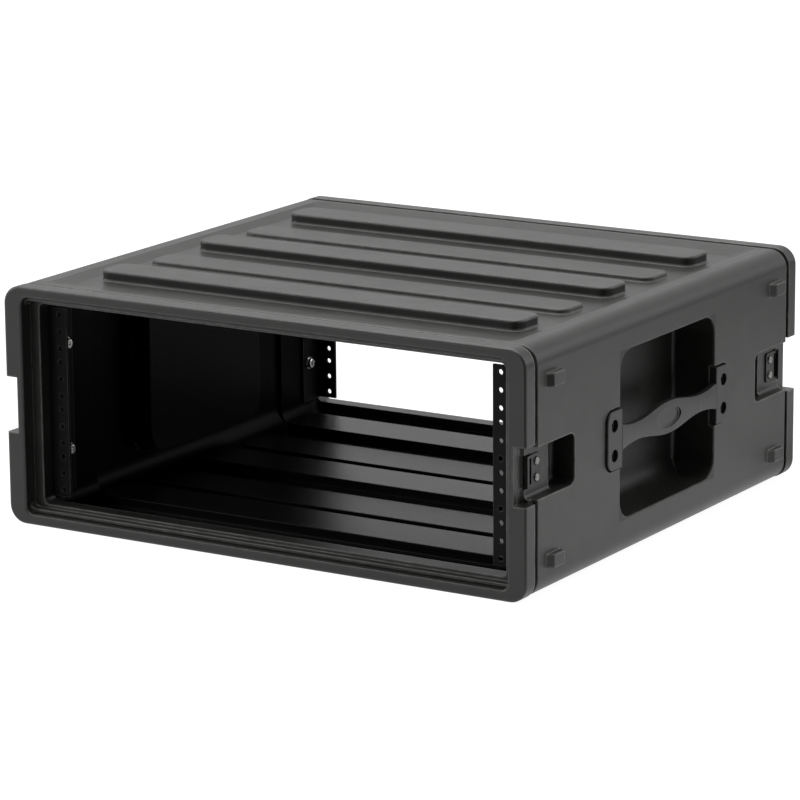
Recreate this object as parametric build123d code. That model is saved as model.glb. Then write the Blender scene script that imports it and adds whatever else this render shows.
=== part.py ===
from build123d import *
import os
from math import cos, pi, radians, sin

os.makedirs("parts", exist_ok=True)

# Equipment rack case, four rack units high, standing on the two edge frames that close its ends.
# X runs across the rack, Y runs from the front opening to the rear opening, Z is up.
# The origin is the middle of the footprint, on the ground. All lengths are millimetres.

# Overall size
case_width = 548.0
frame_height = 222.6
case_depth = 511.0
mid_height = frame_height / 2

# Rack standard: one unit, the three holes in a unit, the hole columns and the clear opening
rack_unit = 44.45
units = 4
hole_offsets = (6.35, 22.225, 38.1)
hole_column_x = 232.55
rack_opening_x = 225.0
rail_height = units * rack_unit
rail_bottom = mid_height - rail_height / 2

# Moulded shell
shell_end_y = 239.8
panel_end_y = 235.3
seam_depth = 6.0
shell_bottom = 0.8
shell_top = 222.2
corner_radius = 17.0
edge_round = 1.2
skin = 4.5
dish_rim = (247.0, 231.0, 12.0)
dish_flat = (233.0, 204.0, 8.0)
dish_floor = 217.6
end_opening = (245.5, 17.2, 205.4, 5.0)
end_rim_y = 224.0
mid_wall_x = 249.0
column_y = 157.0
bay_floor = 7.2
bay_ceiling = 213.0
hollow_end_y = 232.0
hollow_low = 24.0
hollow_high = 196.0

# Moulded stops on the side panels
lug_rise = 5.5
lug_length = 24.5
lug_height = 12.5
lug_levels = (30.3, 190.0)
lug_starts = (-221.0, 199.0)

# Stacking ribs on the top, with matching grooves underneath
rib_pitch = 79.0
rib_length = 447.0
rib_width = 40.0
rib_corner = 12.0
rib_top_round = 2.2
rib_foot_round = 2.5
rib_heights = (10.0, 5.0, 10.0, 5.0, 10.0)
stacking_gap = 1.0

# Edge frames
frame_opening = (255.0, 10.0, 212.6, 7.0)
frame_round = 2.5
tongue_depth = 8.0
tongue_thickness = 3.0

# Carrying handles in the side pockets
pocket_length = 179.0
pocket_bottom = 36.0
pocket_top = 188.5
pocket_corner = 18.0
pocket_floor_x = 232.0
pocket_draft = 4.0
pocket_back_round = 4.0
pocket_low_round = 17.0
handle_z = 111.8
handle_face = 2.3
screw_recess = 5.3
handle_thickness = 7.0
seat_depth = 5.0
plate_length = 26.0
plate_height = 53.5
plate_screw_y = 103.4
plate_screw_z = 13.5
plate_edge_round = 1.0
plate_corner = 10.0
plate_gap = 1.4
grip_end_y = 60.0
grip_middle = 15.0
grip_neck = 8.3
grip_root = 12.2

# Latch recesses in the four upright edges
recess_y = 171.3
recess_height = 46.0
recess_z = 111.5
recess_pad_x = 263.0
recess_pad_y = 198.0
recess_deep_x = 250.0
recess_corner = 7.0
recess_foot_round = 4.0
recess_slot_y = 228.5
recess_slot_x = 257.5
notch_x = 261.2
notch_height = 52.0

# Latch keepers and their rivets
keeper_sheet = 1.4
keeper_start_y = 214.0
keeper_end_y = 238.5
keeper_half_height = 14.0
keeper_window = (229.5, 235.6, 11.5)
rivet_y = 221.0
rivet_z = 7.3
rivet_radius = 1.95

# Rack rails and their bolts
rail_sheet = 2.5
rail_face_y = 227.0
rail_flange_y = 194.0
rail_bolt_y = 204.0
rail_bolt_z = 50.0
rack_hole_radius = 2.5
bolt_radius = 3.0

SIDES = {"right": 1, "left": -1}
ENDS = {"front": -1, "rear": 1}


def block(x0, x1, y0, y1, z0, z1):
    """A box between opposite corners, given in any order."""
    size = (abs(x1 - x0), abs(y1 - y0), abs(z1 - z0))
    centre = ((x0 + x1) / 2, (y0 + y1) / 2, (z0 + z1) / 2)
    return Pos(*centre) * Box(*size)


def ring_prism(half_width, z0, z1, radius, y0, y1):
    """A rounded rectangle seen from the front, extruded between two depths."""
    plane = Plane(origin=(0, min(y0, y1), (z0 + z1) / 2), x_dir=(1, 0, 0), z_dir=(0, 1, 0))
    face = plane * RectangleRounded(2 * half_width, z1 - z0, radius)
    return extrude(face, amount=abs(y1 - y0))


def side_prism(side, length, height, radius, y, z, x_outer, x_inner, taper=0.0):
    """A rounded rectangle seen from one side, sunk inwards from x_outer to x_inner."""
    plane = Plane(origin=(side * x_outer, y, z), x_dir=(0, 1, 0), z_dir=(-side, 0, 0))
    face = plane * RectangleRounded(length, height, radius)
    return extrude(face, amount=x_outer - x_inner, taper=taper)


def rod_x(side, x0, x1, y, z, radius):
    """A cylinder along X on one side of the case, between two distances from the middle."""
    return Pos(side * (x0 + x1) / 2, y, z) * Rot(0, 90, 0) * Cylinder(radius, abs(x1 - x0))


def group(solids):
    """Identical fasteners kept together as one node of separate solids."""
    return Compound(children=[solid for item in solids for solid in item.solids()])


def write(name, shape):
    shape.label = name
    export_step(shape, f"parts/{name}.step")


def rib_places():
    """The centre and height of each stacking rib, front to rear."""
    count = len(rib_heights)
    return [((i - (count - 1) / 2) * rib_pitch, height) for i, height in enumerate(rib_heights)]


def rib_body(y, z0, z1, grow):
    """A stacking rib, or the space around one, as a round-ended bar along X."""
    face = Pos(0, y, z0) * RectangleRounded(rib_length + 2 * grow, rib_width + 2 * grow, rib_corner + grow)
    return extrude(face, amount=z1 - z0)


def top_dish():
    """The shallow dish in the top, sloping down from its rim to the flat floor that carries the ribs."""
    rim = Pos(0, 0, shell_top) * RectangleRounded(2 * dish_rim[0], 2 * dish_rim[1], dish_rim[2])
    flat = Pos(0, 0, dish_floor) * RectangleRounded(2 * dish_flat[0], 2 * dish_flat[1], dish_flat[2])
    return loft([flat, rim], ruled=True)


def add_stacking_ribs(shell):
    """The shell with its ribs, rounded along their upper edges and where they meet the dish."""
    for y, height in rib_places():
        rib = rib_body(y, dish_floor - 2, dish_floor + height, 0)
        shell += fillet(rib.faces().sort_by(Axis.Z)[-1].edges(), rib_top_round)
    feet = [e for e in shell.edges() if abs(e.center().Z - dish_floor) < 0.01
            and abs(e.center().X) < rib_length / 2 + 0.1 and abs(e.center().Y) < dish_flat[1] - 5]
    return fillet(feet, rib_foot_round)


def wedge_lug(side, y0, z):
    """A moulded stop on the side panel: a ramp at its front, a flat face and a step at its rear."""
    x = case_width / 2
    points = [(x - 2, y0), (x, y0), (x + lug_rise, y0 + lug_rise), (x + lug_rise, y0 + lug_length - 1),
              (x, y0 + lug_length), (x - 2, y0 + lug_length)]
    outline = Polyline(*[(side * px, py) for px, py in points], close=True)
    lug = extrude(Plane.XY.offset(z - lug_height / 2) * make_face(outline), amount=lug_height)
    return fillet([e for e in lug.edges() if abs(e.center().X) > x + 1], edge_round)


def side_hollow(side):
    """The closed hollow between the outer and inner skins of a double side wall."""
    outer = case_width / 2 - skin
    hollow = block(side * (mid_wall_x + skin), side * outer, -hollow_end_y, hollow_end_y,
                   hollow_low, hollow_high)
    seat_half_height = plate_height / 2 + plate_gap + skin
    for end in ENDS.values():
        hollow += block(side * (end_opening[0] + skin), side * outer, end * column_y, end * hollow_end_y,
                        hollow_low, hollow_high)
        spacing = recess_y - skin
        hollow -= block(side * 240, side * 280, end * spacing, end * 250,
                        recess_z - recess_height / 2 - skin, recess_z + recess_height / 2 + skin)
        for z in (-rail_bolt_z, rail_bolt_z):
            hollow -= rod_x(side, 240, 262, end * rail_bolt_y, mid_height + z, 8)
        hollow -= block(side * 240, side * 280, end * (pocket_length / 2 - skin),
                        end * (pocket_length / 2 + plate_length + plate_gap + skin),
                        handle_z - seat_half_height, handle_z + seat_half_height)
    hollow -= block(side * 240, side * 280, -pocket_length / 2 - skin, pocket_length / 2 + skin,
                    pocket_bottom - skin, pocket_top + skin)
    return hollow


def pocket_cut(side):
    """The space of a handle pocket, tapering inwards, with a large round along its lower back edge."""
    mouth_x = case_width / 2 + 1
    cut = side_prism(side, pocket_length, pocket_top - pocket_bottom, pocket_corner, 0,
                     (pocket_top + pocket_bottom) / 2, mouth_x, pocket_floor_x, pocket_draft)
    floor = cut.faces().sort_by(Axis.X)[0 if side > 0 else -1]
    cut = fillet(floor.edges(), pocket_back_round)
    slope = radians(pocket_draft)
    round_x = pocket_floor_x + pocket_low_round
    round_z = pocket_bottom + (pocket_low_round + (mouth_x - round_x) * sin(slope)) / cos(slope)
    tangent_x = round_x - pocket_low_round * sin(slope)
    filler = block(side * (pocket_floor_x - 1), side * tangent_x, -pocket_length, pocket_length,
                   pocket_bottom - 1, round_z)
    roller = Pos(side * round_x, 0, round_z) * Rot(90, 0, 0) * Cylinder(pocket_low_round, 3 * pocket_length)
    return cut - (filler - roller)


def recess_space(side, end, inner_x, inner_y):
    """A recess sunk to inner_x, from its rounded rear corners to a distance inner_y along the case."""
    z0, z1 = recess_z - recess_height / 2, recess_z + recess_height / 2
    space = block(side * inner_x, side * (case_width / 2 + 1), end * recess_y, end * inner_y, z0, z1)
    corners = [e for e in space.edges().filter_by(Axis.X) if abs(abs(e.center().Y) - recess_y) < 0.01]
    space = fillet(corners, recess_corner)
    lower = [e for e in space.edges().filter_by(Axis.Y)
             if abs(abs(e.center().X) - inner_x) < 0.01 and e.center().Z < recess_z]
    return fillet(lower, recess_foot_round)


def recess_cut(side, end):
    """A latch recess: a shallow pad, a deep finger space behind it and a slot under the keeper."""
    slot = block(side * recess_slot_x, side * (case_width / 2 + 1), end * recess_slot_y, end * 262,
                 recess_z - 15, recess_z + 15)
    return (recess_space(side, end, recess_pad_x, 262) + recess_space(side, end, recess_deep_x, recess_pad_y)
            + slot)


def make_shell():
    half = case_width / 2
    shell = ring_prism(half, shell_bottom, shell_top, corner_radius, -panel_end_y, panel_end_y)
    shell = fillet(shell.faces().sort_by(Axis.Y)[0].edges() + shell.faces().sort_by(Axis.Y)[-1].edges(),
                   edge_round)
    shell += ring_prism(half - seam_depth, shell_bottom + 4, shell_top - 4, corner_radius - 5,
                        -shell_end_y, shell_end_y)
    shell = add_stacking_ribs(shell - top_dish())
    for side in SIDES.values():
        shell -= pocket_cut(side)
        mouth = [e for e in shell.edges() if abs(e.center().X - side * half) < 0.01
                 and abs(e.center().Y) <= pocket_length / 2 and e.center().Z > shell_bottom + corner_radius
                 and e.center().Z < shell_top - corner_radius]
        shell = fillet(mouth, edge_round)
        for z in lug_levels:
            for y0 in lug_starts:
                shell += wedge_lug(side, y0, z)
    for y, height in rib_places():
        shell -= rib_body(y, shell_bottom - 1, shell_bottom + height + stacking_gap, stacking_gap)

    opening_x, opening_low, opening_high, opening_corner = end_opening
    bay = ring_prism(mid_wall_x, bay_floor, bay_ceiling, 18, -column_y, column_y)
    for end in ENDS.values():
        bay += ring_prism(opening_x, bay_floor, bay_ceiling, 14, end * (column_y - 1), end * end_rim_y)
    for y, height in rib_places():
        band_top = shell_bottom + height + stacking_gap + skin
        bay -= rib_body(y, bay_floor - 1, band_top, stacking_gap + skin)
        bay += rib_body(y, bay_ceiling - 1, bay_ceiling + height, -skin)
    for side in SIDES.values():
        height = pocket_top - pocket_bottom + 2 * skin
        z = (pocket_top + pocket_bottom) / 2
        bay -= side_prism(side, pocket_length + 2 * skin, height, pocket_corner + skin, 0, z,
                          mid_wall_x + 6, pocket_floor_x - skin + 0.5, pocket_draft)
    for end in ENDS.values():
        bay += ring_prism(opening_x, opening_low, opening_high, opening_corner, end * (end_rim_y - 1), end * 262)
    shell -= bay

    for side in SIDES.values():
        shell -= side_hollow(side)
        for end in ENDS.values():
            shell -= recess_cut(side, end)
            shell -= end_plate_blank(side, end, plate_gap, 1.0)
            for z in (-plate_screw_z, plate_screw_z):
                shell -= rod_x(side, half - 16, half, end * plate_screw_y, handle_z + z, 3.5)
            for z in (-rail_bolt_z, rail_bolt_z):
                shell -= rod_x(side, 240, 258, end * rail_bolt_y, mid_height + z, 4.5)
            for z in (-rivet_z, rivet_z):
                shell -= rod_x(side, recess_pad_x - 6, recess_pad_x, end * rivet_y, recess_z + z,
                               rivet_radius + 0.05)

    for end in ENDS.values():
        shell += frame_tongue(end, 0)
    for side in SIDES.values():
        for end in ENDS.values():
            shell -= notch(side, end)
    return shell


def frame_tongue(end, gap):
    """The ring that stands out of the shell's end and locates the edge frame."""
    half_width, low, high = 258.2 - gap, 13.6 + gap, 209.0 - gap
    wall = tongue_thickness + 2 * gap
    y0, y1 = end * (shell_end_y - 0.5), end * (shell_end_y + tongue_depth + gap)
    outer = ring_prism(half_width + wall, low - wall, high + wall, 12, y0, y1)
    return outer - ring_prism(half_width, low, high, 9, end * 230, end * 262)


def notch(side, end):
    """The way into a latch recess through the edge frame."""
    return block(side * notch_x, side * (case_width / 2 + 1), end * (shell_end_y - 0.05), end * 262,
                 recess_z - notch_height / 2, recess_z + notch_height / 2)


def make_frame(end):
    half = case_width / 2
    face_y = end * case_depth / 2
    opening_x, opening_low, opening_high, opening_corner = frame_opening
    frame = ring_prism(half, 0, frame_height, corner_radius, end * shell_end_y, face_y)
    outer_edges = frame.faces().sort_by(Axis.Y)[-1 if end > 0 else 0].edges()
    frame = fillet(outer_edges, frame_round)
    hole = ring_prism(opening_x, opening_low, opening_high, opening_corner, end * 230, end * 262)
    frame -= hole
    inner_edges = frame.faces().sort_by(Axis.Y)[-1 if end > 0 else 0].inner_wires()[0].edges()
    frame = fillet(inner_edges, frame_round)
    frame -= frame_tongue(end, 0.3)
    for side in SIDES.values():
        frame -= notch(side, end)
    return frame


def make_rail(side, end):
    """An angle of steel sheet: a drilled front leg and a leg bolted to the side wall."""
    outer_x = end_opening[0]
    top = rail_bottom + rail_height
    face = block(side * rack_opening_x, side * outer_x, end * rail_face_y,
                 end * (rail_face_y - rail_sheet), rail_bottom, top)
    leg = block(side * (outer_x - rail_sheet), side * outer_x, end * rail_face_y,
                end * rail_flange_y, rail_bottom, top)
    rail = face + leg
    corner = [e for e in rail.edges().filter_by(Axis.Z)
              if abs(abs(e.center().X) - outer_x) < 0.01 and abs(abs(e.center().Y) - rail_face_y) < 0.01]
    rail = fillet(corner, 2.2)
    for unit in range(units):
        for offset in hole_offsets:
            z = rail_bottom + unit * rack_unit + offset
            hole = Pos(side * hole_column_x, end * rail_face_y, z) * Rot(90, 0, 0) * Cylinder(rack_hole_radius, 12)
            rail -= hole
    for z in (-rail_bolt_z, rail_bolt_z):
        rail -= rod_x(side, 240, 250, end * rail_bolt_y, mid_height + z, 3.3)
    return rail


def rail_fasteners():
    """Bolts, washers and moulded-in inserts that hold the four rails to the side walls."""
    seat = end_opening[0] - rail_sheet
    bolts, washers, inserts = [], [], []
    for side in SIDES.values():
        for end in ENDS.values():
            for z in (mid_height - rail_bolt_z, mid_height + rail_bolt_z):
                y = end * rail_bolt_y
                head = rod_x(side, seat - 4.6, seat - 1.2, y, z, 5.2)
                head = fillet(head.edges().sort_by(Axis.X)[-1 if side < 0 else 0], 1.5)
                head -= rod_x(side, seat - 5, seat - 2.4, y, z, 2.0)
                bolts.append(head + rod_x(side, seat - 1.2, 257, y, z, bolt_radius))
                washers.append(rod_x(side, seat - 1.2, seat, y, z, 6.4) - rod_x(side, 230, 250, y, z, 3.2))
                inserts.append(rod_x(side, end_opening[0], 258, y, z, 4.5)
                               - rod_x(side, 240, 257.2, y, z, bolt_radius + 0.05))
    return group(bolts), group(washers), group(inserts)


def make_keeper(side, end):
    """A riveted latch keeper: a flat plate whose far end is a raised bar across a window."""
    base, top = recess_pad_x, recess_pad_x + keeper_sheet
    low, high = recess_z - keeper_half_height, recess_z + keeper_half_height
    window_start, window_end, window_half_height = keeper_window
    plate = block(side * base, side * top, end * keeper_start_y, end * keeper_end_y, low, high)
    bar = block(side * base, side * (top + 1.6), end * window_end, end * keeper_end_y, low, high)
    keeper = plate + bar
    keeper -= block(side * 255, side * 270, end * window_start, end * window_end,
                    recess_z - window_half_height, recess_z + window_half_height)
    corners = [e for e in keeper.edges().filter_by(Axis.X)
               if abs(abs(e.center().Y) - keeper_start_y) < 0.01]
    keeper = chamfer(corners, 2)
    for z in (-rivet_z, rivet_z):
        keeper -= rod_x(side, 255, 270, end * rivet_y, recess_z + z, rivet_radius + 0.1)
    return keeper


def make_keeper_rivets():
    rivets = []
    plate_top = recess_pad_x + keeper_sheet
    for side in SIDES.values():
        for end in ENDS.values():
            for z in (recess_z - rivet_z, recess_z + rivet_z):
                head = rod_x(side, plate_top, plate_top + 1.5, end * rivet_y, z, 3.8)
                head = fillet(head.edges().sort_by(Axis.X)[-1 if side > 0 else 0], 1.2)
                rivets.append(head + rod_x(side, recess_pad_x - 5.5, plate_top, end * rivet_y, z, rivet_radius))
    return group(rivets)


def strap_half_height(y):
    """Half the height of the handle at a distance along it: wide in the middle, narrow at the necks."""
    y = abs(y)
    if y <= grip_end_y:
        return (grip_middle + grip_neck) / 2 + (grip_middle - grip_neck) / 2 * cos(pi * y / grip_end_y)
    root = pocket_length / 2
    share = (y - grip_end_y) / (root - grip_end_y)
    return grip_neck + (grip_root - grip_neck) * share * share


def strap_piece(side, y0, y1, steps):
    """A length of the handle strap between two stations, with smooth upper and lower edges."""
    stations = [y0 + (y1 - y0) * i / steps for i in range(steps + 1)]
    upper = [(y, strap_half_height(y)) for y in stations]
    lower = [(y, -h) for y, h in upper]
    plane = Plane(origin=(side * (case_width / 2 + handle_face), 0, handle_z),
                  x_dir=(0, 1, 0), z_dir=(side, 0, 0))
    outline = [Spline(*upper), Line(upper[-1], lower[-1]), Spline(*reversed(lower)), Line(lower[0], upper[0])]
    face = make_face(outline)
    return extrude(plane * face, amount=-handle_thickness)


def end_plate_blank(side, end, gap, extra):
    """The outline of a handle end plate: square where the strap joins it, rounded at its far corners."""
    inner_x, outer_x = case_width / 2 - seat_depth, case_width / 2 + handle_face + extra
    root = pocket_length / 2
    far = root + plate_length + gap
    half_height = plate_height / 2 + gap
    blank = block(side * inner_x, side * outer_x, end * (root - gap), end * far,
                  handle_z - half_height, handle_z + half_height)
    far_edges = [e for e in blank.edges().filter_by(Axis.X) if abs(abs(e.center().Y) - far) < 0.01]
    return fillet(far_edges, plate_corner + gap)


def make_end_plate(side, end):
    """The handle's end plate, seated in the panel, with two counterbored screw holes."""
    half = case_width / 2
    plate = end_plate_blank(side, end, 0, 0)
    outer_face = plate.faces().sort_by(Axis.X)[-1 if side > 0 else 0]
    plate = fillet(outer_face.edges(), plate_edge_round)
    for z in (-plate_screw_z, plate_screw_z):
        plate -= rod_x(side, half - 10, half + 10, end * plate_screw_y, handle_z + z, 2.8)
        plate -= rod_x(side, half + handle_face - screw_recess, half + 10, end * plate_screw_y, handle_z + z, 5.8)
    return plate


def handle_fasteners():
    """Screws, cup washers and inserts that hold the handle end plates."""
    half = case_width / 2
    floor = half + handle_face - screw_recess
    screws, washers, inserts = [], [], []
    for side in SIDES.values():
        for end in ENDS.values():
            for z in (handle_z - plate_screw_z, handle_z + plate_screw_z):
                y = end * plate_screw_y
                head = rod_x(side, floor + 0.8, floor + 2.6, y, z, 4.4)
                head = fillet(head.edges().sort_by(Axis.X)[-1 if side > 0 else 0], 1.0)
                head -= rod_x(side, floor + 1.6, floor + 4, y, z, 1.7)
                screws.append(head + rod_x(side, half - 15.5, floor + 0.8, y, z, 2.45))
                washers.append(rod_x(side, floor, floor + 0.8, y, z, 5.5) - rod_x(side, 250, 280, y, z, 2.6))
                inserts.append(rod_x(side, half - 16, half - seat_depth, y, z, 3.5)
                               - rod_x(side, half - 15.7, half, y, z, 2.5))
    return group(screws), group(washers), group(inserts)


write("body_shell", make_shell())
for end_name, end in ENDS.items():
    write(f"{end_name}_edge_frame", make_frame(end))
    for side_name, side in SIDES.items():
        write(f"{end_name}_{side_name}_rack_rail", make_rail(side, end))
        write(f"{end_name}_{side_name}_latch_keeper", make_keeper(side, end))
write("keeper_rivets", make_keeper_rivets())

rail_bolts, rail_washers, rail_inserts = rail_fasteners()
write("rail_bolts", rail_bolts)
write("rail_washers", rail_washers)
write("rail_inserts", rail_inserts)

for side_name, side in SIDES.items():
    write(f"{side_name}_handle_grip", strap_piece(side, -grip_end_y, grip_end_y, 12))
    for end_name, end in ENDS.items():
        near, far = sorted((end * grip_end_y, end * pocket_length / 2))
        write(f"{side_name}_handle_{end_name}_neck", strap_piece(side, near, far, 4))
        write(f"{side_name}_handle_{end_name}_plate", make_end_plate(side, end))

handle_screws, handle_washers, handle_inserts = handle_fasteners()
write("handle_screws", handle_screws)
write("handle_washers", handle_washers)
write("handle_inserts", handle_inserts)
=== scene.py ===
from math import cos, pi, radians, sin

import bpy
from mathutils import Matrix, Vector


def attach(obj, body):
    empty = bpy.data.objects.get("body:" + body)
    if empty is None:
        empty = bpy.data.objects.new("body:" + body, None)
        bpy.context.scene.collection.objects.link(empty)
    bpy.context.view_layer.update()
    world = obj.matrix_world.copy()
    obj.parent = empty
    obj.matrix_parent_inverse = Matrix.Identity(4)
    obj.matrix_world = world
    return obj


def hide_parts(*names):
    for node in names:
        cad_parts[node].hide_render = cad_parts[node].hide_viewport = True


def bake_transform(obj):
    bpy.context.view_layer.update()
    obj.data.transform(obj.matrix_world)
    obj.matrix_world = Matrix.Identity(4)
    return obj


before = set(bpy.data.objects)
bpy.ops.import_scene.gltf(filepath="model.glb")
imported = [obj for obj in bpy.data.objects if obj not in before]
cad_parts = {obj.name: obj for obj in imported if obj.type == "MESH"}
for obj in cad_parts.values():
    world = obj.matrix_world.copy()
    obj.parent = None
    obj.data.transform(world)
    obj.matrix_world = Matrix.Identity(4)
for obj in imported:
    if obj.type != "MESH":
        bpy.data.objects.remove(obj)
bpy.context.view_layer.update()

# Case shell: one hollow moulding in dark polyethylene with double side walls, a dished top with five
# stacking ribs, a sunk pocket in each side for the handle and a recess at each upright edge for a latch.
# The mould leaves a fine pebbled skin, and handling dulls and lightens its corners; the light colour on its
# edges is partly rubbed wear and partly a painted highlight.


def new_group(name, inputs, outputs):
    """An empty shader node group with named inputs (name, default) and outputs (name, kind)."""
    group = bpy.data.node_groups.new(name, "ShaderNodeTree")
    for label, default in inputs:
        socket = group.interface.new_socket(label, in_out="INPUT", socket_type="NodeSocketFloat")
        socket.default_value = default
    for label, kind in outputs:
        group.interface.new_socket(label, in_out="OUTPUT", socket_type=kind)
    return group, group.nodes.new("NodeGroupInput"), group.nodes.new("NodeGroupOutput")


def add_node(tree, kind, settings=None, **inputs):
    """A shader node with its settings, and inputs given as values or as sockets to link."""
    node = tree.nodes.new(kind)
    for setting, value in (settings or {}).items():
        setattr(node, setting, value)
    for label, value in inputs.items():
        numbered = label[0] == "i" and label[1:].isdigit()
        socket = node.inputs[int(label[1:]) if numbered else label]
        if isinstance(value, bpy.types.NodeSocket):
            tree.links.new(value, socket)
        else:
            socket.default_value = value
    return node


def arithmetic(tree, operation, first, second):
    """The result of a sum on two values or sockets."""
    return add_node(tree, "ShaderNodeMath", {"operation": operation}, i0=first, i1=second).outputs[0]


def object_place(tree):
    """Where a point lies on its piece, in metres."""
    return tree.nodes.new("ShaderNodeTexCoord").outputs["Object"]


def make_moulded_skin():
    """The pebbles and slow waves a mould leaves on plastic: a height in metres and a tone from 0 to 1."""
    group, given, result = new_group(
        "moulded skin",
        (("Pebble Size", 0.0011), ("Pebble Height", 0.00004),
         ("Wave Size", 0.03), ("Wave Height", 0.00008)),
        (("Height", "NodeSocketFloat"), ("Tone", "NodeSocketFloat")))
    place = object_place(group)
    per_pebble = arithmetic(group, "DIVIDE", 1.0, given.outputs["Pebble Size"])
    per_wave = arithmetic(group, "DIVIDE", 1.0, given.outputs["Wave Size"])
    pebbles = add_node(group, "ShaderNodeTexNoise", Vector=place, Scale=per_pebble, Detail=2.0,
                       Roughness=0.6)
    waves = add_node(group, "ShaderNodeTexNoise", Vector=place, Scale=per_wave, Detail=1.0,
                     Roughness=0.4)
    fine = arithmetic(group, "MULTIPLY", pebbles.outputs["Fac"], given.outputs["Pebble Height"])
    slow = arithmetic(group, "MULTIPLY", waves.outputs["Fac"], given.outputs["Wave Height"])
    height = arithmetic(group, "ADD", fine, slow)
    tone = add_node(group, "ShaderNodeMapRange", {"interpolation_type": "SMOOTHSTEP"},
                    Value=waves.outputs["Fac"], i1=0.3, i2=0.7)
    group.links.new(height, result.inputs["Height"])
    group.links.new(tone.outputs[0], result.inputs["Tone"])
    return group


def make_worn_and_highlit_edges():
    """The soft round on a piece's edges as a normal, and a mask along those edges, used for rubbed bare
    metal on coated steel and for rubbed wear with a painted highlight on plastics.
    """
    group, given, result = new_group(
        "worn edges", (("Round", 0.0012), ("Wear", 0.5)),
        (("Normal", "NodeSocketVector"), ("Mask", "NodeSocketFloat")))
    soft = add_node(group, "ShaderNodeBevel", {"samples": 6}, Radius=given.outputs["Round"])
    flat = group.nodes.new("ShaderNodeNewGeometry")
    reach = arithmetic(group, "MULTIPLY", given.outputs["Round"], 2.2)
    wide = add_node(group, "ShaderNodeBevel", {"samples": 6}, Radius=reach)
    alike = add_node(group, "ShaderNodeVectorMath", {"operation": "DOT_PRODUCT"},
                     i0=wide.outputs["Normal"], i1=flat.outputs["True Normal"])
    turned = add_node(group, "ShaderNodeMapRange", Value=alike.outputs["Value"], i1=0.995, i2=0.93)
    patchy = add_node(group, "ShaderNodeTexNoise", Vector=object_place(group), Scale=90.0, Detail=3.0,
                      Roughness=0.6)
    patches = add_node(group, "ShaderNodeMapRange", Value=patchy.outputs["Fac"], i1=0.3, i2=0.7, i3=0.35)
    rubbed = arithmetic(group, "MULTIPLY", turned.outputs[0], patches.outputs[0])
    worn = arithmetic(group, "MULTIPLY", rubbed, given.outputs["Wear"])
    group.links.new(soft.outputs["Normal"], result.inputs["Normal"])
    group.links.new(worn, result.inputs["Mask"])
    return group


def make_scuffs():
    """Faint rubbed streaks and dusty patches from handling, as one mask from 0 to 1."""
    group, given, result = new_group(
        "scuffs", (("Amount", 0.5), ("Size", 0.05)), (("Mask", "NodeSocketFloat"),))
    place = object_place(group)
    scale = arithmetic(group, "DIVIDE", 1.0, given.outputs["Size"])
    cloud = add_node(group, "ShaderNodeTexNoise", Vector=place, Scale=scale, Detail=5.0,
                     Roughness=0.65, Distortion=0.6)
    patches = add_node(group, "ShaderNodeMapRange", Value=cloud.outputs["Fac"], i1=0.45, i2=0.75)
    amount = arithmetic(group, "MULTIPLY", patches.outputs[0], given.outputs["Amount"])
    group.links.new(amount, result.inputs["Mask"])
    return group


moulded_skin = make_moulded_skin()
worn_and_highlit_edges = make_worn_and_highlit_edges()
scuffs = make_scuffs()


def place_group(tree, group, **inputs):
    """A node group put into a material, with values for its named inputs."""
    node = tree.nodes.new("ShaderNodeGroup")
    node.node_tree = group
    for label, value in inputs.items():
        node.inputs[label.replace("_", " ")].default_value = value
    return node


def mix_colour(tree, first, second, factor):
    """Two colours mixed by a mask."""
    mix = add_node(tree, "ShaderNodeMix", {"data_type": "RGBA"})
    tree.links.new(factor, mix.inputs["Factor"])
    for socket, colour in ((mix.inputs[6], first), (mix.inputs[7], second)):
        if isinstance(colour, bpy.types.NodeSocket):
            tree.links.new(colour, socket)
        else:
            socket.default_value = (*colour, 1.0)
    return mix.outputs[2]


def moulded_plastic(name, dark, light, rubbed, edge_wear_and_highlight_tone, gloss, pebble, edge_round):
    """Moulded plastic with an uneven tone, light edges that are partly rubbed wear and partly a painted
    highlight, dusty patches and a pebbled skin.

    gloss is the roughness where it is clean and where it is dusty, pebble the pebbles' size and height.
    """
    finish = bpy.data.materials.new(name)
    finish.use_nodes = True
    tree = finish.node_tree
    shader = tree.nodes["Principled BSDF"]
    skin = place_group(tree, moulded_skin, Pebble_Size=pebble[0], Pebble_Height=pebble[1])
    edges = place_group(tree, worn_and_highlit_edges, Round=edge_round, Wear=0.85)
    dust = place_group(tree, scuffs, Amount=0.6)
    body = mix_colour(tree, dark, light, skin.outputs["Tone"])
    dusty = mix_colour(tree, body, rubbed, dust.outputs["Mask"])
    # the edges take a light colour that is partly rubbed wear and partly a painted highlight
    worn = mix_colour(tree, dusty, edge_wear_and_highlight_tone, edges.outputs["Mask"])
    tree.links.new(worn, shader.inputs["Base Color"])
    rough = add_node(tree, "ShaderNodeMapRange", Value=dust.outputs["Mask"], i3=gloss[0], i4=gloss[1])
    tree.links.new(rough.outputs[0], shader.inputs["Roughness"])
    bump = add_node(tree, "ShaderNodeBump", Height=skin.outputs["Height"],
                    Normal=edges.outputs["Normal"], Distance=1.0)
    tree.links.new(bump.outputs["Normal"], shader.inputs["Normal"])
    return finish


def dress(node_names, finish):
    """Gives the finish to pieces that keep the shape they already have."""
    for node_name in node_names:
        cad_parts[node_name].data.materials.clear()
        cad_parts[node_name].data.materials.append(finish)


rubbed_tone = (0.032, 0.032, 0.030)
# edge colour for the plastics: partly rubbed wear, partly a painted highlight
edge_wear_and_highlight = (0.34, 0.34, 0.325)
shell_plastic = moulded_plastic(
    "shell plastic", dark=(0.020, 0.0205, 0.019), light=(0.027, 0.0275, 0.0255), rubbed=rubbed_tone,
    edge_wear_and_highlight_tone=edge_wear_and_highlight, gloss=(0.34, 0.46), pebble=(0.0013, 0.00024), edge_round=0.0013)

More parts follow.
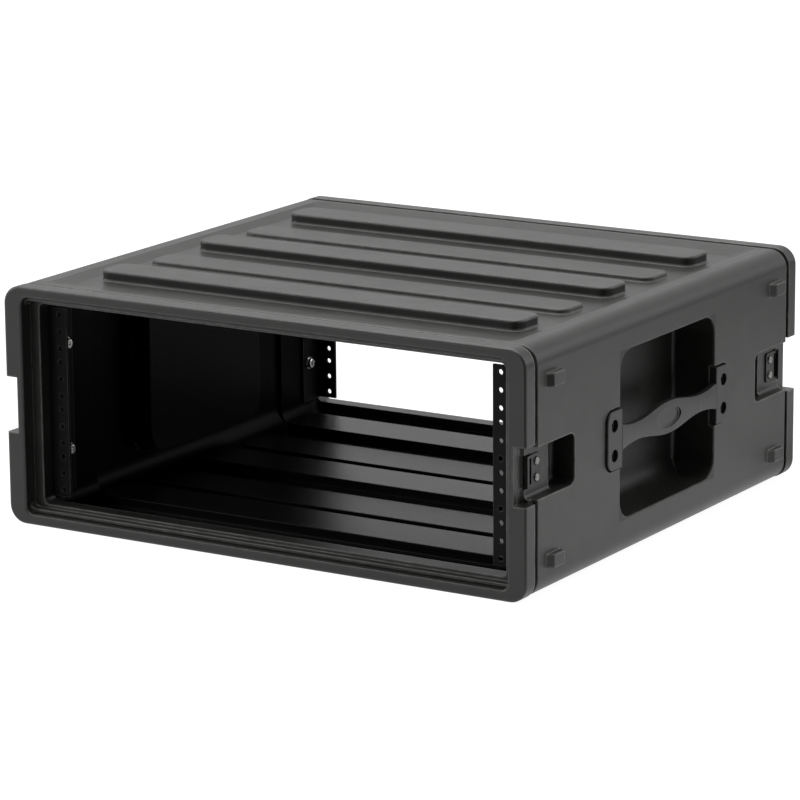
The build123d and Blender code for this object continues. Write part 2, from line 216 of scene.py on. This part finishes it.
# (middle, reach) of the bay and of the handle pockets to each side, along the case and upwards
bay_box = ((0.0, 0.2492), (0.0, 0.2235), (0.11015, 0.10335))
pocket_box = ((0.260, 0.0303), (0.0, 0.0905), (0.112, 0.0775))
# near-black colour painted into the bay as shade
inner_shade_colour = (0.003, 0.003, 0.003)
inner_roughness = 0.26
floor_shine, wall_shine = 0.26, 0.03
floor_edge_x, wall_x = 0.19, 0.232
outer_shine, pocket_shine = 0.5, 0.28


def within(tree, ways, box):
    """A mask that is 1 inside a box and 0 outside it."""
    share = 1.0
    for value, (middle, reach) in zip(ways, box):
        near = add_node(tree, "ShaderNodeMath", {"operation": "COMPARE"}, i0=value, i1=middle, i2=reach)
        share = arithmetic(tree, "MULTIPLY", share, near.outputs[0])
    return share


def paint_inner_shade(finish):
    """Paints shade into the bay: its inner skin is made near black as painted shade, and smoother, and its
    walls are dullest.
    """
    tree = finish.node_tree
    shader = tree.nodes["Principled BSDF"]
    place = add_node(tree, "ShaderNodeSeparateXYZ", Vector=object_place(tree))
    aside = add_node(tree, "ShaderNodeMath", {"operation": "ABSOLUTE"}, i0=place.outputs["X"]).outputs[0]
    ways = (aside, place.outputs["Y"], place.outputs["Z"])
    bay = within(tree, ways, bay_box)
    pocket = within(tree, ways, pocket_box)
    inside = add_node(tree, "ShaderNodeMath", {"operation": "SUBTRACT", "use_clamp": True},
                      i0=bay, i1=pocket).outputs[0]
    for label, inner in (("Base Color", inner_shade_colour), ("Roughness", (inner_roughness,) * 3)):
        outer = shader.inputs[label].links[0].from_socket
        tree.links.new(mix_colour(tree, outer, inner, inside), shader.inputs[label])
    inner_shine = add_node(tree, "ShaderNodeMapRange", Value=aside, i1=floor_edge_x, i2=wall_x,
                           i3=floor_shine, i4=wall_shine)
    outside = add_node(tree, "ShaderNodeMapRange", Value=pocket, i3=outer_shine, i4=pocket_shine)
    shine = add_node(tree, "ShaderNodeMapRange", Value=inside, i3=outside.outputs[0],
                     i4=inner_shine.outputs[0])
    tree.links.new(shine.outputs[0], shader.inputs["Specular IOR Level"])


paint_inner_shade(shell_plastic)
dress(["body_shell"], shell_plastic)

# Edge frames: two closed rings of smoother injection-moulded plastic that close the ends of the shell.
# Each is pressed over a tongue on the shell, with its outer edges rounded for the rim of a lid.

frame_plastic = moulded_plastic(
    "frame plastic", dark=(0.019, 0.0195, 0.018), light=(0.024, 0.0245, 0.023), rubbed=rubbed_tone,
    edge_wear_and_highlight_tone=edge_wear_and_highlight, gloss=(0.32, 0.44), pebble=(0.0010, 0.00014), edge_round=0.0014)
dress(["front_edge_frame", "rear_edge_frame"], frame_plastic)

# Rack rails: angles of steel sheet bent along their corner, punched with three holes to the rack unit
# and coated in black powder, which dries to a satin skin with a fine grain.


def coated_steel(name, colour, bare, gloss, shine, grain, edge_round, wear):
    """Powder coat on steel: an even dark skin with fine grain, and bare metal at rubbed edges."""
    finish = bpy.data.materials.new(name)
    finish.use_nodes = True
    tree = finish.node_tree
    shader = tree.nodes["Principled BSDF"]
    shader.inputs["Specular IOR Level"].default_value = shine
    skin = place_group(tree, moulded_skin, Pebble_Size=grain, Pebble_Height=0.000012,
                       Wave_Height=0.00002)
    edges = place_group(tree, worn_and_highlit_edges, Round=edge_round, Wear=wear)
    dust = place_group(tree, scuffs, Amount=0.4, Size=0.02)
    coat = mix_colour(tree, colour, [2.2 * c for c in colour], dust.outputs["Mask"])
    tree.links.new(mix_colour(tree, coat, bare, edges.outputs["Mask"]), shader.inputs["Base Color"])
    tree.links.new(edges.outputs["Mask"], shader.inputs["Metallic"])
    rough = add_node(tree, "ShaderNodeMapRange", Value=skin.outputs["Tone"], i3=gloss[0], i4=gloss[1])
    tree.links.new(rough.outputs[0], shader.inputs["Roughness"])
    bump = add_node(tree, "ShaderNodeBump", Height=skin.outputs["Height"],
                    Normal=edges.outputs["Normal"], Distance=1.0)
    tree.links.new(bump.outputs["Normal"], shader.inputs["Normal"])
    return finish


rail_coat = coated_steel("rail coat", colour=(0.003, 0.003, 0.0032), bare=(0.45, 0.44, 0.43),
                         gloss=(0.42, 0.55), shine=0.12, grain=0.0006, edge_round=0.0005, wear=0.35)
corners = [(end, side) for end in ("front", "rear") for side in ("right", "left")]
dress([f"{end}_{side}_rack_rail" for end, side in corners], rail_coat)

# Rail bolts and washers: zinc-plated button-head bolts with plain washers, turned and then plated, which
# leaves fine tool marks under the zinc. They screw into brass inserts moulded into the side walls.


def plated_metal(name, colour, gloss, streak):
    """Plated or plain metal with fine streaks along the turned part's length and a little tarnish."""
    finish = bpy.data.materials.new(name)
    finish.use_nodes = True
    tree = finish.node_tree
    shader = tree.nodes["Principled BSDF"]
    shader.inputs["Metallic"].default_value = 1.0
    place = add_node(tree, "ShaderNodeMapping", Vector=object_place(tree), Scale=(0.15, 1.0, 1.0))
    streaks = add_node(tree, "ShaderNodeTexNoise", Vector=place.outputs[0], Scale=streak, Detail=3.0)
    dust = place_group(tree, scuffs, Amount=0.8, Size=0.004)
    edges = place_group(tree, worn_and_highlit_edges, Round=0.0004, Wear=0.0)
    dull = [0.45 * c for c in colour]
    tree.links.new(mix_colour(tree, colour, dull, dust.outputs["Mask"]), shader.inputs["Base Color"])
    rough = add_node(tree, "ShaderNodeMapRange", Value=streaks.outputs["Fac"], i3=gloss[0], i4=gloss[1])
    tree.links.new(rough.outputs[0], shader.inputs["Roughness"])
    bump = add_node(tree, "ShaderNodeBump", Height=streaks.outputs["Fac"],
                    Normal=edges.outputs["Normal"], Distance=0.00003)
    tree.links.new(bump.outputs["Normal"], shader.inputs["Normal"])
    return finish


zinc_plate = plated_metal("zinc plate", colour=(0.80, 0.80, 0.78), gloss=(0.16, 0.30), streak=900.0)
insert_brass = plated_metal("insert brass", colour=(0.60, 0.43, 0.20), gloss=(0.30, 0.45), streak=700.0)
dress(["rail_bolts", "rail_washers"], zinc_plate)
dress(["rail_inserts", "handle_inserts"], insert_brass)

# Latch keepers: small pressed steel plates with a window and a raised bar for the latch's hook, coated
# black. Two blackened rivets hold each one to the floor of its recess.

keeper_coat = coated_steel("keeper coat", colour=(0.016, 0.016, 0.015), bare=(0.42, 0.41, 0.39),
                           gloss=(0.30, 0.42), shine=0.4, grain=0.0005, edge_round=0.0004, wear=0.3)
rivet_black = plated_metal("blackened rivet", colour=(0.22, 0.22, 0.21), gloss=(0.14, 0.26), streak=1100.0)
dress([f"{end}_{side}_latch_keeper" for end, side in corners], keeper_coat)
dress(["keeper_rivets"], rivet_black)

# Handle straps: one flexible moulding of black rubber-like plastic on each side, wide in the grip and
# narrow at the necks, with rounded edges and a blank oval badge. On the real case the necks bend as the
# grip is pulled.

handle_z = 0.1118
strap_face_x = 0.2763
strap_thickness = 0.007
strap_root_y = 0.0895
strap_grip_y = 0.060
strap_round = 0.0017
grip_mean, grip_swell = 0.01165, 0.00335
neck_half, neck_flare = 0.0083, 0.0039
bar_height = 0.02
same_place = 1e-5
grip_cuts, neck_cuts = 24, 8
smooth_angle = 40
badge_size = (0.045, 0.0180)
badge_y = -0.002
badge_steps = ((1.0, 0.0011), (0.84, 0.0017))


def strap_half_height(y):
    """Half the height of the strap at a distance along it, least where the grip meets the necks."""
    y = abs(y)
    if y <= strap_grip_y:
        return grip_mean + grip_swell * cos(pi * y / strap_grip_y)
    share = (y - strap_grip_y) / (strap_root_y - strap_grip_y)
    return neck_half + neck_flare * share * share


def clear_selection():
    """Leaves nothing selected, so that the next operator acts only on its own piece."""
    bpy.ops.object.select_all(action="DESELECT")
    bpy.context.view_layer.objects.active = None


def select_only(piece):
    """Selects one piece for the next operator."""
    clear_selection()
    piece.select_set(True)
    bpy.context.view_layer.objects.active = piece


def finish_modifiers(piece):
    """Applies every modifier of a piece in order."""
    select_only(piece)
    for name in [modifier.name for modifier in piece.modifiers]:
        bpy.ops.object.modifier_apply(modifier=name)


def settle(piece):
    """Moves a piece's place, turn and size into its mesh."""
    select_only(piece)
    bpy.ops.object.transform_apply(location=True, rotation=True, scale=True)


def strap_length(name, side, y0, y1, cuts):
    """A length of strap: a bar cut into stations, each station drawn out to the strap's height there."""
    middle_x = side * (strap_face_x - strap_thickness / 2)
    clear_selection()
    bpy.ops.mesh.primitive_cube_add(size=1.0, location=(middle_x, (y0 + y1) / 2, handle_z))
    piece = bpy.context.object
    piece.name = name
    piece.scale = (strap_thickness, y1 - y0, bar_height)
    settle(piece)
    bpy.ops.object.mode_set(mode="EDIT")
    stations = [y0 + (y1 - y0) * i / cuts for i in range(cuts + 1)]
    for y in stations[1:-1]:
        bpy.ops.mesh.select_all(action="SELECT")
        bpy.ops.mesh.bisect(plane_co=(0, y, 0), plane_no=(0, 1, 0))
    for y in stations:
        bpy.ops.object.mode_set(mode="OBJECT")
        for part in (piece.data.polygons, piece.data.edges, piece.data.vertices):
            part.foreach_set("select", [False] * len(part))
        for vertex in piece.data.vertices:
            vertex.select = abs(vertex.co.y - y) < same_place
        bpy.ops.object.mode_set(mode="EDIT")
        bpy.ops.transform.resize(value=(1, 1, strap_half_height(y) / (bar_height / 2)),
                                 center_override=(middle_x, y, handle_z))
    bpy.ops.object.mode_set(mode="OBJECT")
    weights = piece.data.attributes.new("bevel_weight_edge", "FLOAT", "EDGE")
    for edge in piece.data.edges:
        a, b = (piece.data.vertices[i].co for i in edge.vertices)
        along = abs(a.y - b.y) > same_place
        weights.data[edge.index].value = 1.0 if along else 0.0
    bevel = piece.modifiers.new("rounded edges", "BEVEL")
    bevel.limit_method = "WEIGHT"
    bevel.width = strap_round
    bevel.segments = 4
    finish_modifiers(piece)
    return piece


def press_badge(piece, side):
    """Sinks a blank oval into the middle of the grip, with a step round its rim."""
    for size, depth in badge_steps:
        clear_selection()
        bpy.ops.mesh.primitive_cylinder_add(
            vertices=64, radius=0.5, depth=2 * depth, location=(side * strap_face_x, 0, handle_z),
            rotation=(0, pi / 2, 0))
        tool = bpy.context.object
        settle(tool)
        tool.scale = (1.0, badge_size[0] * size, badge_size[1] * size)
        tool.location = (0, badge_y, handle_z * (1 - badge_size[1] * size))
        settle(tool)
        cut = piece.modifiers.new("badge", "BOOLEAN")
        cut.operation = "DIFFERENCE"
        cut.solver = "EXACT"
        cut.object = tool
        finish_modifiers(piece)
        bpy.data.objects.remove(tool)


def smooth(piece):
    """Shades a piece smooth except across its sharp corners."""
    select_only(piece)
    bpy.ops.object.shade_smooth_by_angle(angle=radians(smooth_angle))


# the strap's light edge colour is partly rubbed wear and partly a painted highlight
handle_rubber = moulded_plastic(
    "handle rubber", dark=(0.016, 0.0163, 0.0153), light=(0.021, 0.0213, 0.020),
    rubbed=(0.028, 0.028, 0.026), edge_wear_and_highlight_tone=(0.20, 0.20, 0.19), gloss=(0.36, 0.48),
    pebble=(0.0008, 0.00010), edge_round=0.0003)

for side_name, side in (("right", 1), ("left", -1)):
    grip = strap_length(f"{side_name}_grip_strap", side, -strap_grip_y, strap_grip_y, grip_cuts)
    press_badge(grip, side)
    smooth(grip)
    grip.data.materials.append(handle_rubber)
    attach(grip, f"{side_name}_grip")
    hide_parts(f"{side_name}_handle_grip")
    for end_name, end in (("front", -1), ("rear", 1)):
        near, far = sorted((end * strap_grip_y, end * strap_root_y))
        neck = strap_length(f"{side_name}_{end_name}_neck_strap", side, near, far, neck_cuts)
        smooth(neck)
        neck.data.materials.append(handle_rubber)
        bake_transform(neck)
        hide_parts(f"{side_name}_handle_{end_name}_neck")

# Handle end plates, screws and cup washers: the plates are the thick ends of the strap, seated in the
# side panel, and each is held by two blackened screws sunk in deep counterbores.

dress([f"{side}_handle_{end}_plate" for end, side in corners], handle_rubber)
screw_black = plated_metal("blackened screw", colour=(0.035, 0.035, 0.033), gloss=(0.25, 0.40),
                           streak=900.0)
dress(["handle_screws", "handle_washers"], screw_black)

# Studio: a plain pale floor that glows, with painted shade in its glow as seen reflected, and bright
# surroundings, a large soft light overhead with two weaker ones at the left and the rear, a black card that
# keeps light off the side nearest the camera, and the camera.

yaw, pitch, roll = 0.5551, 0.2356, -0.0083
camera_place = (1.95276, -3.16347, 0.98683)
camera_lens = 184.5
# where each painted shade in the floor's glow sets in and is full along x and along y, and the share of
# glow left in it
painted_shade_before_corner = ((0.22, 0.5), (-0.18, -0.42), 0.0)
painted_shadow_behind_case = ((0.42, 0.24), (0.20, 0.36), 0.0)
painted_shade_far_right = ((0.3, 0.5), (0.35, 1.1), 0.3)


def seen_share(tree, seen, glossy, unseen):
    """A strength for what the camera sees, one for glossy surfaces and a weaker one for diffuse light."""
    path = tree.nodes.new("ShaderNodeLightPath")
    shine = add_node(tree, "ShaderNodeMix", {"data_type": "FLOAT"}, i2=unseen, i3=glossy)
    tree.links.new(path.outputs["Is Glossy Ray"], shine.inputs["Factor"])
    seen_mix = add_node(tree, "ShaderNodeMix", {"data_type": "FLOAT"}, i2=shine.outputs[0], i3=seen)
    tree.links.new(path.outputs["Is Camera Ray"], seen_mix.inputs["Factor"])
    return seen_mix.outputs[0]


def floor_glow_with_painted_shade(tree, lit):
    """A glow strength with painted shade before the case's nearest corner, a painted shadow behind the
    case, and painted shade far to its right.
    """
    place = add_node(tree, "ShaderNodeSeparateXYZ", Vector=object_place(tree))
    strength = lit
    for edges_x, edges_y, share_left in (painted_shade_before_corner, painted_shadow_behind_case, painted_shade_far_right):
        beside = add_node(tree, "ShaderNodeMapRange", {"interpolation_type": "SMOOTHSTEP"},
                          Value=place.outputs["X"], i1=edges_x[0], i2=edges_x[1])
        beyond = add_node(tree, "ShaderNodeMapRange", {"interpolation_type": "SMOOTHSTEP"},
                          Value=place.outputs["Y"], i1=edges_y[0], i2=edges_y[1])
        shade = arithmetic(tree, "MULTIPLY", beside.outputs[0], beyond.outputs[0])
        strength = add_node(tree, "ShaderNodeMapRange", Value=shade, i3=strength,
                            i4=share_left * lit).outputs[0]
    return strength


def stage_plane(name, width, height, place, turn, base, glow=None):
    """A flat matt board of the studio. glow is its own light as seen directly and as seen reflected."""
    clear_selection()
    bpy.ops.mesh.primitive_plane_add(size=1.0)
    board = bpy.context.object
    board.name = name
    board.scale = (width, height, 1.0)
    board.rotation_euler = turn
    board.location = place
    settle(board)
    paper = bpy.data.materials.new(name)
    paper.use_nodes = True
    shader = paper.node_tree.nodes["Principled BSDF"]
    shader.inputs["Base Color"].default_value = (*base, 1.0)
    shader.inputs["Roughness"].default_value = 0.9
    shader.inputs["Specular IOR Level"].default_value = 0.0
    shader.inputs["Emission Color"].default_value = (1.0, 1.0, 1.0, 1.0)
    if glow:
        reflected = floor_glow_with_painted_shade(paper.node_tree, glow[1])
        strength = seen_share(paper.node_tree, glow[0], reflected, 0.0)
        paper.node_tree.links.new(strength, shader.inputs["Emission Strength"])
    board.data.materials.append(paper)


# the floor glows evenly to the camera, and with painted shade and a painted shadow as seen reflected
stage_plane("floor", 40.0, 40.0, place=(0, 0, 0), turn=(0, 0, 0), base=(0.30, 0.30, 0.298),
            glow=(0.95, 0.80))
stage_plane("black card", 5.0, 4.0, place=(2.6, -4.4, 2.0), turn=(pi / 2, 0, yaw),
            base=(0.004, 0.004, 0.004))


def soft_light(name, place, aim, width, height, power):
    """A rectangular soft light aimed at a point."""
    lamp = bpy.data.lights.new(name, "AREA")
    lamp.shape = "RECTANGLE"
    lamp.size = width
    lamp.size_y = height
    lamp.energy = power
    holder = bpy.data.objects.new(name, lamp)
    bpy.context.scene.collection.objects.link(holder)
    holder.location = place
    holder.rotation_euler = (Vector(aim) - Vector(place)).to_track_quat("-Z", "Y").to_euler()


case_middle = (0, 0, 0.1)
soft_light("overhead", (-0.4, 0.1, 2.4), (-0.1, 0, 0.1), width=2.8, height=2.8, power=62.0)
soft_light("left", (-2.6, -1.2, 1.2), case_middle, width=1.4, height=1.4, power=16.0)
soft_light("right rear", (2.4, 1.8, 1.4), case_middle, width=1.4, height=1.6, power=14.0)

world = bpy.data.worlds.new("studio")
world.use_nodes = True
sky = world.node_tree.nodes["Background"]
sky.inputs["Color"].default_value = (1.0, 1.0, 1.0, 1.0)
daylight = seen_share(world.node_tree, seen=1.0, glossy=0.75, unseen=0.10)
world.node_tree.links.new(daylight, sky.inputs["Strength"])
bpy.context.scene.world = world
bpy.context.scene.view_settings.view_transform = "Standard"

ahead = Vector((-sin(yaw) * cos(pitch), cos(yaw) * cos(pitch), -sin(pitch)))
level = Vector((cos(yaw), sin(yaw), 0))
upright = level.cross(ahead)
right = cos(roll) * level + sin(roll) * upright
up = cos(roll) * upright - sin(roll) * level
lens = bpy.data.cameras.new("camera")
lens.lens = camera_lens
lens.sensor_width = 36.0
lens.clip_end = 100.0
camera = bpy.data.objects.new("camera", lens)
bpy.context.scene.collection.objects.link(camera)
camera_turn = Matrix((right, up, -ahead)).transposed().to_4x4()
camera.matrix_world = Matrix.Translation(camera_place) @ camera_turn
bpy.context.scene.camera = camera
